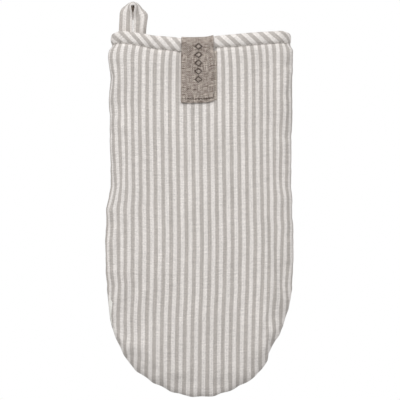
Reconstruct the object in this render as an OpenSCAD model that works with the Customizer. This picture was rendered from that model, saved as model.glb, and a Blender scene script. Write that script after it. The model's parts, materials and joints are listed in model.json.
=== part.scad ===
// Oven mitt without a thumb, sewn from a striped outer cloth, wadding and a lining,
// with a bias binding round the cuff, a woven label and a hanging loop.
// It lies on its back: +Z is up through the front, +Y points out of the cuff, and the
// origin is under the middle of its outline, on the surface that it lies on.
// The mitt bends at the knuckles, so every panel is made in two lengths, hand and fingers,
// which meet at the fold. The loop swings on the line where it leaves the cuff.

/* [Mitt] */
// Length from the tip to the top of the cuff
mitt_len = 330; // [300:5:360]
// Width across the palm
palm_w = 168; // [150:2:180]
// Width across the cuff
cuff_w = 164; // [148:2:176]
// Length of the half-oval tip
tip_len = 101; // [90:1:115]
// Thickness of the front above the side seams
front_h = 14.6; // [13:0.2:17]
// Height of the side seams above the surface that the mitt lies on
seam_z = 15; // [14:0.5:17]
// How far the middle of the cuff's edge dips below its corners
cuff_dip = 5; // [0:0.5:8]

/* [Cloth] */
// Thickness of the striped outer cloth
shell_t = 1.2; // [0.8:0.1:1.6]
// Thickness of the wadding in the middle of a panel
wadding_t = 7; // [5:0.5:8]
// Thickness of the wadding where the side seam pinches it
wadding_side_t = 3; // [2:0.5:4]
// Thickness of the lining cloth
lining_t = 1; // [0.8:0.1:1.4]

/* [Cuff] */
// How far the binding reaches down from the cuff's edge
binding_w = 12.5; // [10:0.5:16]
// Thickness of the binding's folded cloth
binding_t = 1.2; // [1:0.1:1.6]

/* [Label] */
// Width of the label's tape
label_w = 29.6; // [20:0.2:36]
// Length of the label below the cuff's edge, on the front
label_len = 59; // [40:1:70]
// Where the label's middle sits across the front
label_x = -1.8; // [-20:0.2:20]

/* [Hanging loop] */
// Width of the loop
loop_w = 26; // [22:1:30]
// How far the loop stands above the top of the cuff
loop_rise = 26; // [24:1:34]
// Thickness of the loop's folded tape
loop_t = 2.4; // [2:0.2:3]
// Where the loop's middle sits across the cuff
loop_x = -59.5; // [-60:0.5:-40]
// Width of the loop's eye, for a hook
eye_w = 5; // [4.6:0.2:7]

/* [Fold] */
// Distance of the knuckle fold from the tip
fold_at = 130; // [120:5:150]
// How far the fingers fold towards the front
fold_angle = 70; // [40:5:80]

/* [Hidden] */

linen = "#CFCBC6";
wadding_white = "#F0EEEA";
lining_white = "#E8E4DD";
label_brown = "#9A8E84";
thread_brown = "#4A3A30";
thread_white = "#EDEAE5";

// Surfaces of the sewn layers, from the binding's outside in to the binding's inside:
// 0 the binding's outside, 1 the shell's outside, 2 shell to wadding, 3 wadding to lining,
// 4 the lining's inside, 5 the binding's inside. depth is under the front or back surface,
// and side_depth is in from the outline, where the seams pinch the wadding.
depth = [-binding_t, 0, shell_t, shell_t + wadding_t, shell_t + wadding_t + lining_t,
    shell_t + wadding_t + lining_t + binding_t];
side_depth = [-binding_t, 0, shell_t, shell_t + wadding_side_t, shell_t + wadding_side_t + lining_t,
    shell_t + wadding_side_t + lining_t + binding_t];
SHELL = 1;
WADDING = 2;
LINING = 3;

y_tip = -(mitt_len + loop_rise) / 2;
seam_gap = 0.8;         // between the front and back panels, filled by the seams
back_h = seam_z + 2;    // deeper than the seams' height, so that the back lies flat
section_n = 2.5;        // power of the superellipse of every section
tip_round = 60;         // length over which the tip thins down to its seam
taper_from = 174;       // from here the sides draw in from palm_w ...
taper_to = 210;         // ... to cuff_w
lift_len = 12;          // the back rises over this length to make room for the binding,
lift_room = cuff_dip + 2; // is up this far before the binding starts at the cuff's corners,
lift_h = binding_t + 0.4; // and clears the surface under the binding and its stitches
fold_gap = 0.3;         // each side of the fold
fold_slope = tan(fold_angle / 2 + 1);
cols = 18;              // facets across a panel
finger_rows = 12;
hand_rows = 12;         // closer together towards the cuff

function smooth(x) = let (c = min(1, max(0, x))) c * c * (3 - 2 * c);

// Half width and half height of surface k at distance t from the tip
function side(t) = palm_w / 2 - (palm_w - cuff_w) / 2 * smooth((t - taper_from) / (taper_to - taper_from));
function half_w(t, k) = t >= tip_len ? side(t) - side_depth[k]
    : (palm_w / 2 - side_depth[k]) * sqrt(max(0, 1 - pow((tip_len - t) / (tip_len - side_depth[k]), 2)));
function half_h(t, k, h) = (h - depth[k]) * (t >= tip_round ? 1
    : pow(max(0, 1 - pow((tip_round - t) / (tip_round - side_depth[k]), section_n)), 1 / section_n));

// The lowest that surface k may lie, which rises where the binding wraps the back
function floor_z(t, k) = let (lifted = mitt_len - binding_w - lift_room)
    depth[k] + lift_h * smooth((t - lifted + lift_len) / lift_len);

// Height of surface k where the section's own height is the share s of its greatest
function front_z(t, k, s) = seam_z + seam_gap / 2 + half_h(t, k, front_h) * s;
function back_z(t, k, s) = max(min(floor_z(t, k), seam_z - seam_gap / 2),
    seam_z - seam_gap / 2 - half_h(t, k, back_h) * s);
function skin_z(t, k, s, front) = front ? front_z(t, k, s) : back_z(t, k, s);

// A section's points run from the right seam, p = 0, over the middle, p = 90, to the left seam
function across(p) = sign(cos(p)) * pow(abs(cos(p)), 2 / section_n);
function height(p) = pow(abs(sin(p)), 2 / section_n);
function skin(t, k, p, front) = [half_w(t, k) * across(p), y_tip + t, skin_z(t, k, height(p), front)];

// The same height, found from x instead of p
function height_at(x, t, k) = pow(max(0, 1 - pow(abs(x) / half_w(t, k), section_n)), 1 / section_n);

// The cuff's edge at the share a of the half width
function cuff_t(a) = mitt_len - cuff_dip * (1 - a * a);
function cuff_t_at(x) = cuff_t(x / (cuff_w / 2));

// Where a panel of the hand or the fingers starts and ends, along the line p of surface k.
// The front stands back from the fold by a slope, so that its two faces close when it folds.
function fold_back(k, p, front) = fold_gap + (front ? (front_z(fold_at, k, height(p)) - seam_z) * fold_slope : 0);
function hand_t(u, k, p, front) = let (a = fold_at + fold_back(k, p, front), b = cuff_t(across(p)) - binding_t)
    b - (b - a) * (1 - u) * (1 - u);
function finger_t(u, k, p, front) = let (a = side_depth[k], b = fold_at - fold_back(k, p, front))
    a + (b - a) * u * u;

function tri(a, b, c, turned) = turned ? [a, c, b] : [a, b, c];
function quad(a, b, c, d, turned) = [tri(a, b, c, turned), tri(a, c, d, turned)];

// The solid between surfaces k and k + 1 of one half of the mitt, open at its two ends
module hand_panel(k, front) {
    n = (hand_rows + 1) * (cols + 1);
    pts = [for (m = [k, k + 1], i = [0:hand_rows], j = [0:cols])
        let (p = 180 * j / cols) skin(hand_t(i / hand_rows, m, p, front), m, p, front)];
    function id(m, i, j) = m * n + i * (cols + 1) + j;
    skins = [for (m = [0, 1], i = [0:hand_rows - 1], j = [0:cols - 1])
        each quad(id(m, i, j), id(m, i + 1, j), id(m, i + 1, j + 1), id(m, i, j + 1), (m == 0) == front)];
    seams = [for (i = [0:hand_rows - 1], j = [0, cols])
        each quad(id(0, i, j), id(0, i + 1, j), id(1, i + 1, j), id(1, i, j), (j == 0) != front)];
    ends = [for (i = [0, hand_rows], j = [0:cols - 1])
        each quad(id(0, i, j), id(0, i, j + 1), id(1, i, j + 1), id(1, i, j), (i == 0) == front)];
    polyhedron(pts, concat(skins, seams, ends));
}

// The same for the fingers, whose surfaces close to one point at the tip
module finger_panel(k, front) {
    n = 1 + finger_rows * (cols + 1);
    pts = [for (m = [k, k + 1]) each concat([skin(side_depth[m], m, 90, front)],
        [for (i = [1:finger_rows], j = [0:cols])
            let (p = 180 * j / cols) skin(finger_t(i / finger_rows, m, p, front), m, p, front)])];
    function id(m, i, j) = m * n + (i == 0 ? 0 : 1 + (i - 1) * (cols + 1) + j);
    tips = [for (m = [0, 1], j = [0:cols - 1])
        tri(id(m, 0, 0), id(m, 1, j), id(m, 1, j + 1), (m == 0) == front)];
    skins = [for (m = [0, 1], i = [1:finger_rows - 1], j = [0:cols - 1])
        each quad(id(m, i, j), id(m, i + 1, j), id(m, i + 1, j + 1), id(m, i, j + 1), (m == 0) == front)];
    seams = [for (i = [0:finger_rows - 1], j = [0, cols])
        each quad(id(0, i, j), id(0, i + 1, j), id(1, i + 1, j), id(1, i, j), (j == 0) != front)];
    ends = [for (j = [0:cols - 1])
        each quad(id(0, finger_rows, j), id(0, finger_rows, j + 1), id(1, finger_rows, j + 1),
            id(1, finger_rows, j), !front)];
    polyhedron(pts, concat(tips, skins, seams, ends));
}

// A closed tube whose sections are lists of points, with its end caps built from strips
module swept(sections, closed) {
    n = len(sections);
    w = len(sections[0]);
    pts = [for (s = sections) each s];
    sides = [for (i = [0:(closed ? n - 1 : n - 2)], j = [0:w - 1])
        let (a = i * w, b = ((i + 1) % n) * w, j2 = (j + 1) % w)
        each quad(a + j, a + j2, b + j2, b + j, false)];
    caps = closed ? [] : [for (e = [0, n - 1], j = [0:w / 2 - 2])
        let (a = e * w) each quad(a + j, a + w - 1 - j, a + w - 2 - j, a + j + 1, e > 0)];
    polyhedron(pts, concat(sides, caps));
}

// Seam along the outline, a flat cord of stitched edges that fills the gap between the panels.
// in and out are how far its two edges lie in from the outline.
function seam_point(t, inset, right) =
    let (w = t >= tip_len ? side(t) - inset
        : (palm_w / 2 - inset) * sqrt(max(0, 1 - pow((tip_len - t) / (tip_len - inset), 2))))
    [(right ? 1 : -1) * w, y_tip + t];
function seam_section(s, outer, inner, from, to) =
    let (u = abs(s), right = s > 0,
        o = seam_point(from + outer + (to - from - outer) * u * u, outer, right),
        i = seam_point(from + inner + (to - from - inner) * u * u, inner, right),
        z = seam_gap / 2)
    [[o[0], o[1], seam_z - z], [i[0], i[1], seam_z - z], [i[0], i[1], seam_z + z], [o[0], o[1], seam_z + z]];
seam_end_gap = 1;       // from the fold, where the seam's ends would meet

module finger_seam(outer, inner) {
    swept([for (i = [-finger_rows:finger_rows])
        seam_section(i / finger_rows, outer, inner, 0, fold_at - seam_end_gap)], false);
}

module hand_seam(outer, inner) {
    a = fold_at + seam_end_gap;
    b = mitt_len - binding_t;
    z = seam_gap / 2;
    for (right = [true, false])
        swept([for (i = [0:hand_rows])
            let (t = right ? a + (b - a) * i / hand_rows : b - (b - a) * i / hand_rows,
                o = seam_point(t, outer, right), n = seam_point(t, inner, right))
            [[o[0], o[1], seam_z - z], [n[0], n[1], seam_z - z],
                [n[0], n[1], seam_z + z], [o[0], o[1], seam_z + z]]], false);
}

// A stitch is a short length of thread between two points
module stitch(a, b, r = 0.35) {
    v = b - a;
    translate(a)
        rotate([0, acos(v[2] / norm(v)), atan2(v[1], v[0])])
            cylinder(r = r, h = norm(v), $fn = 24);
}

module front_shell_hand() { color(linen) hand_panel(SHELL, true); }
module front_shell_fingers() { color(linen) finger_panel(SHELL, true); }

// The back rests on a flat patch of cloth, so that is one plane face
rest_w = 70;
rest_len = 110;
rest_from = fold_at + 20;
module back_shell_hand() {
    color(linen)
        union() {
            hand_panel(SHELL, false);
            translate([-rest_w / 2, y_tip + rest_from, 0])
                cube([rest_w, rest_len, shell_t / 2]);
        }
}
module back_shell_fingers() { color(linen) finger_panel(SHELL, false); }

module front_wadding_hand() { color(wadding_white) hand_panel(WADDING, true); }
module front_wadding_fingers() { color(wadding_white) finger_panel(WADDING, true); }
module back_wadding_hand() { color(wadding_white) hand_panel(WADDING, false); }
module back_wadding_fingers() { color(wadding_white) finger_panel(WADDING, false); }

module front_lining_hand() { color(lining_white) hand_panel(LINING, true); }
module front_lining_fingers() { color(lining_white) finger_panel(LINING, true); }
module back_lining_hand() { color(lining_white) hand_panel(LINING, false); }
module back_lining_fingers() { color(lining_white) finger_panel(LINING, false); }

seam_inset = 0.3;
seam_w = 0.7;
lining_seam_inset = side_depth[LINING] + 0.1;
module shell_seam_hand() { color(thread_white) hand_seam(seam_inset, seam_inset + seam_w); }
module shell_seam_fingers() { color(thread_white) finger_seam(seam_inset, seam_inset + seam_w); }
module lining_seam_hand() { color(thread_white) hand_seam(lining_seam_inset, lining_seam_inset + seam_w); }
module lining_seam_fingers() { color(thread_white) finger_seam(lining_seam_inset, lining_seam_inset + seam_w); }

// The binding folds over the cuff's edge: its section is a U, carried once round the mouth.
// Each point is [distance below the edge, surface or depth index].
bevel = binding_t;
binding_outline = [[-binding_w, 0], [-bevel, 0], [0, 1], [0, 4], [-bevel, 5], [-binding_w, 5],
    [-binding_w, 4], [-binding_w / 2, 4], [-binding_t, 4], [-binding_t, 1], [-binding_w / 2, 1], [-binding_w, 1]];
function binding_section(p, front) = [for (q = binding_outline)
    skin(cuff_t(across(p)) + q[0], q[1], p, front)];
module cuff_binding() {
    color(linen)
        swept(concat([for (j = [0:cols]) binding_section(180 * j / cols, true)],
            [for (j = [cols:-1:0]) binding_section(180 * j / cols, false)]), true);
}

// One row of stitches holds the binding's lower edge, on the front and on the back
stitch_pitch = 4;
stitch_len = 2.6;
stitch_up = 1.4;
function on_binding(x, front) = let (t = cuff_t_at(x) - binding_w + stitch_up)
    [x, y_tip + t, skin_z(t, 0, height_at(x, t, 0), front)];
module binding_stitches() {
    reach = floor((cuff_w / 2 - 8) / stitch_pitch);
    label_left = label_x - label_w / 2 - 1;
    label_right = label_x + label_w / 2 + 1;
    color(thread_white)
        for (front = [true, false], i = [-reach:reach])
            let (x = i * stitch_pitch)
                if (!front || x + stitch_len < label_left || x > label_right)
                    stitch(on_binding(x, front), on_binding(x + stitch_len, front));
}

// The label is one length of tape folded over the cuff's edge, inside and out.
// Each row is [distance from the edge, depth] of a point of its outside and of its inside.
label_t = 0.8;
label_air = 0.15;
label_inside = 18;
inner = depth[5];
function label_path(u) = [[-label_len, -u], [-binding_w - 4, -u], [-binding_w, -binding_t - u],
    [-bevel, -binding_t - u], [u, 0], [u, depth[4]], [-bevel, inner + u], [-label_inside, inner + u]];
function label_point(x, q) = let (t = cuff_t_at(x) + q[0])
    [x, y_tip + t, seam_z + seam_gap / 2 + (front_h - q[1]) * height_at(x, t, 1)];
module woven_label() {
    steps = 6;
    outside = label_path(label_t + label_air);
    inside = label_path(label_air);
    last = len(inside) - 1;
    color(label_brown)
        swept([for (i = [0:steps])
            let (x = label_x + label_w * (i / steps - 0.5))
            concat([for (q = outside) label_point(x, q)], [for (j = [last:-1:0]) label_point(x, inside[j])])],
            false);
}

// A dark row of stitches holds the label's lower edge, with one turned up at its right end
label_stitches_n = 9;
label_stitch_up = 3.4;
module label_stitches() {
    margin = 1.6;
    pitch = (label_w - 2 * margin) / label_stitches_n;
    left = label_x - label_w / 2 + margin;
    function at(x, up) = label_point(x, [up - label_len, -label_t - label_air]);
    color(thread_brown) {
        for (i = [0:label_stitches_n - 1])
            stitch(at(left + i * pitch, label_stitch_up), at(left + (i + 0.7) * pitch, label_stitch_up), 0.3);
        stitch(at(label_x + label_w / 2 - margin, label_stitch_up),
            at(label_x + label_w / 2 - margin, label_stitch_up + 2.2), 0.3);
    }
}

// The hanging loop: its two ends lie side by side inside the mouth, sewn to the back's binding,
// and the free loop swings on the line just above the cuff.
loop_z = depth[5] + binding_t + loop_t / 2;
hinge_y = y_tip + mitt_len + 1;
end_len = 16;
loop_gap = 0.3;
module loop_ends() {
    leg_w = loop_w / 2 - 0.3;
    top = hinge_y - loop_t / 2 - loop_gap;
    color(linen)
        for (s = [-1, 1])
            translate([loop_x + s * loop_w / 4 - leg_w / 2, top - end_len, loop_z - loop_t / 2])
                cube([leg_w, end_len, loop_t]);
}

module loop_tack() {
    n = 6;
    pitch = (loop_w - 3) / n;
    y = hinge_y - 9;
    z = loop_z + loop_t / 2;
    color(thread_white)
        for (row = [0, 2.5], i = [0:n - 1])
            let (x = loop_x - loop_w / 2 + 1.5 + i * pitch)
                stitch([x, y - row, z], [x + 0.7 * pitch, y - row, z]);
}

module hanging_loop() {
    r = loop_w / 2;
    top = y_tip + mitt_len + loop_rise;
    eye_r = eye_w / 2;
    eye_top = top - 3 - eye_r;
    eye_len = 9;
    color(linen)
        difference() {
            union() {
                translate([loop_x, top - r, loop_z - loop_t / 2])
                    cylinder(r = r, h = loop_t, $fn = 96);
                translate([loop_x - r, hinge_y, loop_z - loop_t / 2])
                    cube([loop_w, top - r - hinge_y, loop_t]);
                translate([loop_x - r, hinge_y, loop_z])
                    rotate([0, 90, 0])
                        cylinder(r = loop_t / 2, h = loop_w, $fn = 48);
            }
            for (dy = [0, eye_len])
                translate([loop_x, eye_top - dy, loop_z - loop_t])
                    cylinder(r = eye_r, h = 2 * loop_t, $fn = 48);
            translate([loop_x - eye_r, eye_top - eye_len, loop_z - loop_t])
                cube([eye_w, eye_len, 2 * loop_t]);
        }
}

front_shell_hand();
front_shell_fingers();
back_shell_hand();
back_shell_fingers();
front_wadding_hand();
front_wadding_fingers();
back_wadding_hand();
back_wadding_fingers();
front_lining_hand();
front_lining_fingers();
back_lining_hand();
back_lining_fingers();
shell_seam_hand();
shell_seam_fingers();
lining_seam_hand();
lining_seam_fingers();
cuff_binding();
binding_stitches();
woven_label();
label_stitches();
loop_ends();
loop_tack();
hanging_loop();
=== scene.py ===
"""Looks of a padded linen oven mitt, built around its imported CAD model.

The mitt lies on its back: +Z is up through the front, +Y points out of the cuff. Every cloth
panel is a grid whose columns run along the warp, from the outline of the tip to the cuff, so
that the woven stripes follow the cloth.
"""
import json
import math

import bmesh
import bpy
import numpy as np
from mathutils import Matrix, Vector


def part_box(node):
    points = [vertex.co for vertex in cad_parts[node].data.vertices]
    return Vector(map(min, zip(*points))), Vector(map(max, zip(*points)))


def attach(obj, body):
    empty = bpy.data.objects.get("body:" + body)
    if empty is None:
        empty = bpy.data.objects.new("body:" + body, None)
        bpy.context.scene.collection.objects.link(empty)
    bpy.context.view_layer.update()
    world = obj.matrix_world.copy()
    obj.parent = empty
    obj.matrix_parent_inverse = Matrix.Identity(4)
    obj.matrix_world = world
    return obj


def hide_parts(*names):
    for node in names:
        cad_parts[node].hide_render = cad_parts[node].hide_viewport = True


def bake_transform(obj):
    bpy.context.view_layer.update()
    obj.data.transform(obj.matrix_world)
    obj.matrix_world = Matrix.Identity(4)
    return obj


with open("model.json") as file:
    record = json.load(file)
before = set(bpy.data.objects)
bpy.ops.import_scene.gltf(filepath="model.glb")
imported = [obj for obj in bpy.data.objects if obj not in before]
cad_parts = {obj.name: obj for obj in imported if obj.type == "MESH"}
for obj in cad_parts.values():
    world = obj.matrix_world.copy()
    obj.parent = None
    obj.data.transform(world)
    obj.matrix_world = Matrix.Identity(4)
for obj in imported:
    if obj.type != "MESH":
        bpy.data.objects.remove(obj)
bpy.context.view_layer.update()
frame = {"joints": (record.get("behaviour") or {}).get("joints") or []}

MM = 0.001


def corner(node, side):
    """A corner of a CAD node's box, in millimetres: side 0 is the lowest, 1 the highest."""
    return np.array(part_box(node)[side]) / MM


# Sizes from the CAD model, in millimetres. t is a distance from the tip along the mitt.
TIP_Y = corner("front_shell_fingers", 0)[1]
CUFF_Y = corner("cuff_binding", 1)[1]
MITT_LEN = CUFF_Y - TIP_Y
PALM_HALF = corner("front_shell_fingers", 1)[0]
TIP_LEN = 101.0
FRONT_TOP = corner("front_shell_hand", 1)[2]
SEAM_Z = corner("shell_seam_fingers", 0)[2] + 0.4
JOINTS = {j["name"]: j for j in frame["joints"]}
LOOP_HINGE = np.array(JOINTS["loop_swing"]["pos_m"]) / MM

# Cloth layers: how deep each surface lies under the front or back, and in from the side seam.
SHELL_T = 1.2
LAYERS = {"shell": (0.0, 0.0), "wadding": (1.3, 1.3), "lining": (8.2, 4.2), "pocket": (9.2, 5.2)}

# The sides wander in and out by a few millimetres, as sewn cloth does: t and half width.
LEFT_SIDE = [(101, 83.1), (113, 84.3), (140, 84.2), (155, 83.5), (170, 83.5), (181, 80.9), (190, 79.4),
             (203, 79.6), (253, 79.8), (264, 80.8), (286, 79.6), (307, 81.1), (320, 79.0), (330, 78.8)]
RIGHT_SIDE = [(101, 83.0), (113, 84.0), (155, 84.0), (163, 82.8), (181, 82.6), (189, 81.8), (232, 81.8),
              (253, 82.9), (280, 82.8), (311, 83.2), (321, 82.4), (330, 82.2)]

# How far the tip's outline stands out from a half ellipse, at t. Its right is cut flatter.
LEFT_TIP = [(0, 0), (8, 0.2), (16, 0.8), (24, 3.6), (32, 3.4), (44, 2.3), (62, 1.9), (72, 1.3),
            (80, 0.2), (89, -0.5), (101, 0)]
RIGHT_TIP = [(0, 0), (8, 0.2), (16, 1.3), (23, 0.6), (31, -0.4), (40, -4.1), (50, -4.4), (57, -3.0),
             (66, -2.4), (73, -2.3), (80, -1.3), (89, -1.1), (101, 0)]

# The cuff's edge lies lower than its highest point by this much: share of the half width and drop.
CUFF_DROP = [(-1, 2.8), (-0.97, 1.0), (-0.92, 0.3), (-0.86, 0.6), (-0.7, 2.2), (-0.6, 3.5),
             (-0.54, 4.6), (-0.38, 5.4), (-0.25, 6.5), (-0.18, 7.2), (-0.1, 7.3), (0.09, 6.9),
             (0.17, 5.1), (0.28, 4.2), (0.42, 3.3), (0.55, 2.2), (0.68, 1.4), (0.82, 0.8),
             (0.91, 0.2), (0.96, 0.4), (1, 2.4)]

# Depth of the binding below the cuff's edge: share of the half width and depth.
BIND_DEPTH = [(-1, 10.2), (-0.6, 11.2), (-0.25, 12.5), (0.0, 11.2), (0.15, 10.4), (0.55, 11.4), (1, 10.2)]

# The warp wanders a little sideways along the mitt, as it was cut: height above the tip and shift.
WARP_DRIFT = [(0, -1.8), (41, -1.6), (68, -1.2), (104, 0), (140, 0.5), (176, 0.1), (212, -0.3),
              (248, -0.8), (330, -1.0)]

STRIPE_PITCH = 6.9      # one off-white and one grey stripe, woven side by side
STRIPE_AT = 1.7         # the middle of a grey stripe, right of the mitt's middle
SEAM_IN = 1.0           # the seam lies in a groove this deep in the outline
TIP_IN = 1.8            # ... and the tip's roll bulges out this much further than the seam
PUFF = 2.6              # how far the cloth's roll is pushed out over the seam
EDGE_ROUND = 15.0       # the front rolls over to the seam within this distance of the outline
BACK_ROUND = 22.0       # ... and the back within this one
ROLL_SHARE = 0.6        # share of the roll's extra length that shows in the stripes' spacing
CROWN = 2.2             # the front is this much higher in its middle
TIP_RADIUS = 92.0       # mean radius of the tip's outline, for lengths round it
CREASE = 2.1            # the binding's seam draws the front down by this much, 2 mm each side of it
UNDER_BINDING = 1.1     # ... and the binding presses it down by this much above the seam
ABOVE_CREASE = 0.6      # ... and the wadding swells this much, 11 mm below the seam
BACK_LIFT = 1.4         # the back rises this much to the cuff, under the binding's thickness
GATHERED = 1.9          # the binding draws the front's sides in by this much at its seam


# ---------------------------------------------------------------- shape of the sewn cloth

def smooth(x):
    """Smoothstep: 0 below 0, 1 above 1, with no slope at either end."""
    c = np.clip(x, 0.0, 1.0)
    return c * c * (3 - 2 * c)


def eased(stations, t):
    """Values between stations, joined by smoothsteps, so that each station is a level stretch."""
    at = np.array([s[0] for s in stations], float)
    value = np.array([s[1] for s in stations], float)
    i = np.clip(np.searchsorted(at, t, side="right") - 1, 0, len(at) - 2)
    return value[i] + (value[i + 1] - value[i]) * smooth((t - at[i]) / (at[i + 1] - at[i]))


def softened(stations, x, step):
    """Values between stations, joined by straight lines, whose corners are softened over 7 steps."""
    at, value = np.array(stations, float).T
    return sum(np.interp(x + k * step, at, value) for k in range(-3, 4)) / 7


def bump(x, middle, width):
    """A bell curve of height 1."""
    return np.exp(-((x - middle) / width) ** 2)


def side_at(xi, t):
    """Half width of the seam's outline at t, on the side that xi is on.

    Only the cloth near the seam follows the wandering outline: the share of it grows as |xi|^3.
    """
    right = smooth((xi + 0.5) / 1.0)
    level = LEFT_SIDE[0][1] * (1 - right) + RIGHT_SIDE[0][1] * right
    wander = eased(LEFT_SIDE, t) * (1 - right) + eased(RIGHT_SIDE, t) * right - level
    return level + wander * np.abs(xi) ** 3 - SEAM_IN


def tip_at(xi):
    """t at which each column meets the tip's outline: the half ellipse, moved by the tip's own shape.

    The outline is found the other way round, as a half width for each t, and then read backwards.
    A low wave of 20 mm along it is left by the gathers.
    """
    t = np.linspace(0, TIP_LEN, 400)
    oval = np.sqrt(np.clip(1 - ((TIP_LEN - t) / TIP_LEN) ** 2, 0, 1))
    left = oval + eased(LEFT_TIP, t) / LEFT_SIDE[0][1]
    right = oval + eased(RIGHT_TIP, t) / RIGHT_SIDE[0][1]
    wave = 0.45 * np.sin(TIP_RADIUS * np.arcsin(np.clip(xi, -1, 1)) * 2 * math.pi / 20 + 1) * (1 - xi ** 2)
    return np.where(xi < 0, np.interp(-xi, left, t), np.interp(xi, right, t)) + wave


def cuff_at(xi):
    """t of the cuff's edge, which dips to the label and drops at its rounded corners."""
    return MITT_LEN - softened(CUFF_DROP, xi, 0.015)


def binding_w_at(xi):
    """Depth of the binding, which is deepest just left of the label."""
    return softened(BIND_DEPTH, xi, 0.05)


def profile(rho, radius, power):
    """Height of a rolled edge, 0 on the outline to 1 at radius from it: a superellipse's quarter."""
    return (1 - (1 - np.clip(rho / radius, 0, 1)) ** power) ** (1 / power)


def across_columns(n):
    """Places of the columns from -1 at the left seam to 1 at the right, closer at the seams."""
    lin = np.linspace(-1, 1, n)
    return 0.4 * lin + 0.6 * np.sin(lin * math.pi / 2)


def panel(layer, front, n_across=121, n_along=201, end=1.5, extra=None):
    """A grid of points of one surface of the mitt, in millimetres, rows from the tip to the cuff.

    A column keeps its share xi of the half width. It starts on the tip's outline and ends just below
    the cuff's edge. r = sqrt(xi^2 + b^2), where b falls from sqrt(1 - xi^2) on the tip's outline to 0
    where the tip ends, so r is 1 on the outline and 0 in the middle. The height is a rolled edge plus
    a low crown, and the cloth puffs out past the seam half way up the roll. Near the binding the front
    creases at its seam and the sides are drawn in, by less and less over the 60 mm below it.
    """
    depth, inset = LAYERS[layer] if extra is None else extra
    xi = across_columns(n_across)[None, :]
    v = np.linspace(0, 1, n_along)[:, None]
    along = 0.5 * v + 0.25 * (1 - np.cos(v * math.pi))
    low = TIP_LEN - (TIP_LEN - tip_at(xi)) * (1 - (inset + SEAM_IN + TIP_IN) / TIP_LEN)
    t = low + (cuff_at(xi) - end - low) * along
    round_end = np.sqrt(np.clip(1 - xi ** 2, 0, 1))
    below_tip = np.clip(TIP_LEN - t, 0, None) / np.maximum(TIP_LEN - low, 1e-6) * round_end
    xi = np.broadcast_to(xi, t.shape)
    r = np.clip(np.sqrt(xi ** 2 + below_tip ** 2), 1e-9, 1)
    rho = (1 - r) * PALM_HALF
    bound = cuff_at(xi) - binding_w_at(xi)
    under = t - bound
    if front:
        rise = profile(rho, EDGE_ROUND, 2.3)
        top = FRONT_TOP - SEAM_Z - depth
        z = SEAM_Z + (top - CROWN) * rise + CROWN * (1 - r ** 2)
        z -= CREASE * np.clip(rise, 0, 1) * bump(under, 0.3, 2.0)
        z -= UNDER_BINDING * rise * smooth(under / 2)
        z += ABOVE_CREASE * rise * bump(under, -11, 8)
    else:
        rise = profile(rho, BACK_ROUND, 2.1)
        lift = BACK_LIFT * smooth(1 + under / 14)
        z = SEAM_Z - (SEAM_Z - depth - lift) * rise
    puff = PUFF * 4 * rise * (1 - rise) * smooth(-under / 6)
    x = xi * (side_at(xi, t) - inset) + puff * xi / r
    y = TIP_Y + t - puff * below_tip / r
    gather = smooth((np.abs(xi) - 0.1) / 0.25) * smooth((0.98 - np.abs(xi)) / 0.3)
    drawn = GATHERED * (1 if front else 0.4)
    x -= np.sign(xi) * drawn * gather * np.exp(np.clip(under, -60, 0) / 9)
    return np.stack([x, y, z], -1)


def ripple(points, seed, size, waves=7):
    """A smooth random height field: a sum of plane waves of about the given length in millimetres."""
    rng = np.random.default_rng(seed)
    out = np.zeros(points.shape[:-1])
    for _ in range(waves):
        angle, phase, k = rng.uniform(0, math.pi), rng.uniform(0, 2 * math.pi), rng.uniform(0.7, 1.4)
        wave = 2 * math.pi / (size * k)
        out += np.sin(wave * (points[..., 0] * math.cos(angle) + points[..., 1] * math.sin(angle)) + phase)
    return out / waves ** 0.5


def normals_of(points):
    """Unit normals of a grid, from its differences along rows and columns."""
    n = np.cross(np.gradient(points, axis=1), np.gradient(points, axis=0))
    return n / np.maximum(np.linalg.norm(n, axis=-1, keepdims=True), 1e-12)


def lengths(line):
    """Length along a line up to each of its points."""
    return np.concatenate([[0], np.cumsum(np.linalg.norm(np.diff(line, axis=0), axis=1))])


def read_line(at, d, line):
    """Points of a line whose own points lie at lengths d, read at the lengths given."""
    return np.stack([np.interp(at, d, column) for column in line.T], -1)


def averaged(line, rounds):
    """Smooths a line in place: each point becomes a quarter of both neighbours and half itself."""
    for _ in range(rounds):
        line[1:-1] = (line[:-2] + 2 * line[1:-1] + line[2:]) / 4
    return line


def grid_uv(across, along):
    """Cloth coordinates of a grid: across for its columns and along for its rows."""
    return np.stack(np.broadcast_arrays(across[None, :], along[:, None]), -1)


# ---------------------------------------------------------------- meshes

def add_mesh(name, verts, faces, uvs=None, mat=None):
    """A mesh object from arrays: verts in millimetres, quads as rows of 4 indices.

    uvs are lengths along the cloth in millimetres, one for each quad's corner.
    """
    me = bpy.data.meshes.new(name)
    me.vertices.add(len(verts))
    me.vertices.foreach_set("co", (np.asarray(verts, float) * MM).astype(np.float32).ravel())
    n = len(faces)
    me.loops.add(n * 4)
    me.loops.foreach_set("vertex_index", np.asarray(faces, np.int32).ravel())
    me.polygons.add(n)
    me.polygons.foreach_set("loop_start", np.arange(n, dtype=np.int32) * 4)
    if uvs is not None:
        layer = me.uv_layers.new(name="cloth")
        layer.data.foreach_set("uv", (np.asarray(uvs, float) * MM).astype(np.float32).ravel())
    me.update(calc_edges=True)
    me.validate()
    me.shade_smooth()
    ob = bpy.data.objects.new(name, me)
    bpy.context.scene.collection.objects.link(ob)
    if mat:
        me.materials.append(mat)
    return ob


def grid_faces(rows, cols, start=0, flip=False):
    """Quads of a grid of rows x cols vertices, counted along each row."""
    a = (np.arange(rows - 1)[:, None] * cols + np.arange(cols - 1)[None, :]).ravel() + start
    quads = np.stack([a, a + 1, a + cols + 1, a + cols], -1)
    return quads[:, ::-1] if flip else quads


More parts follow.
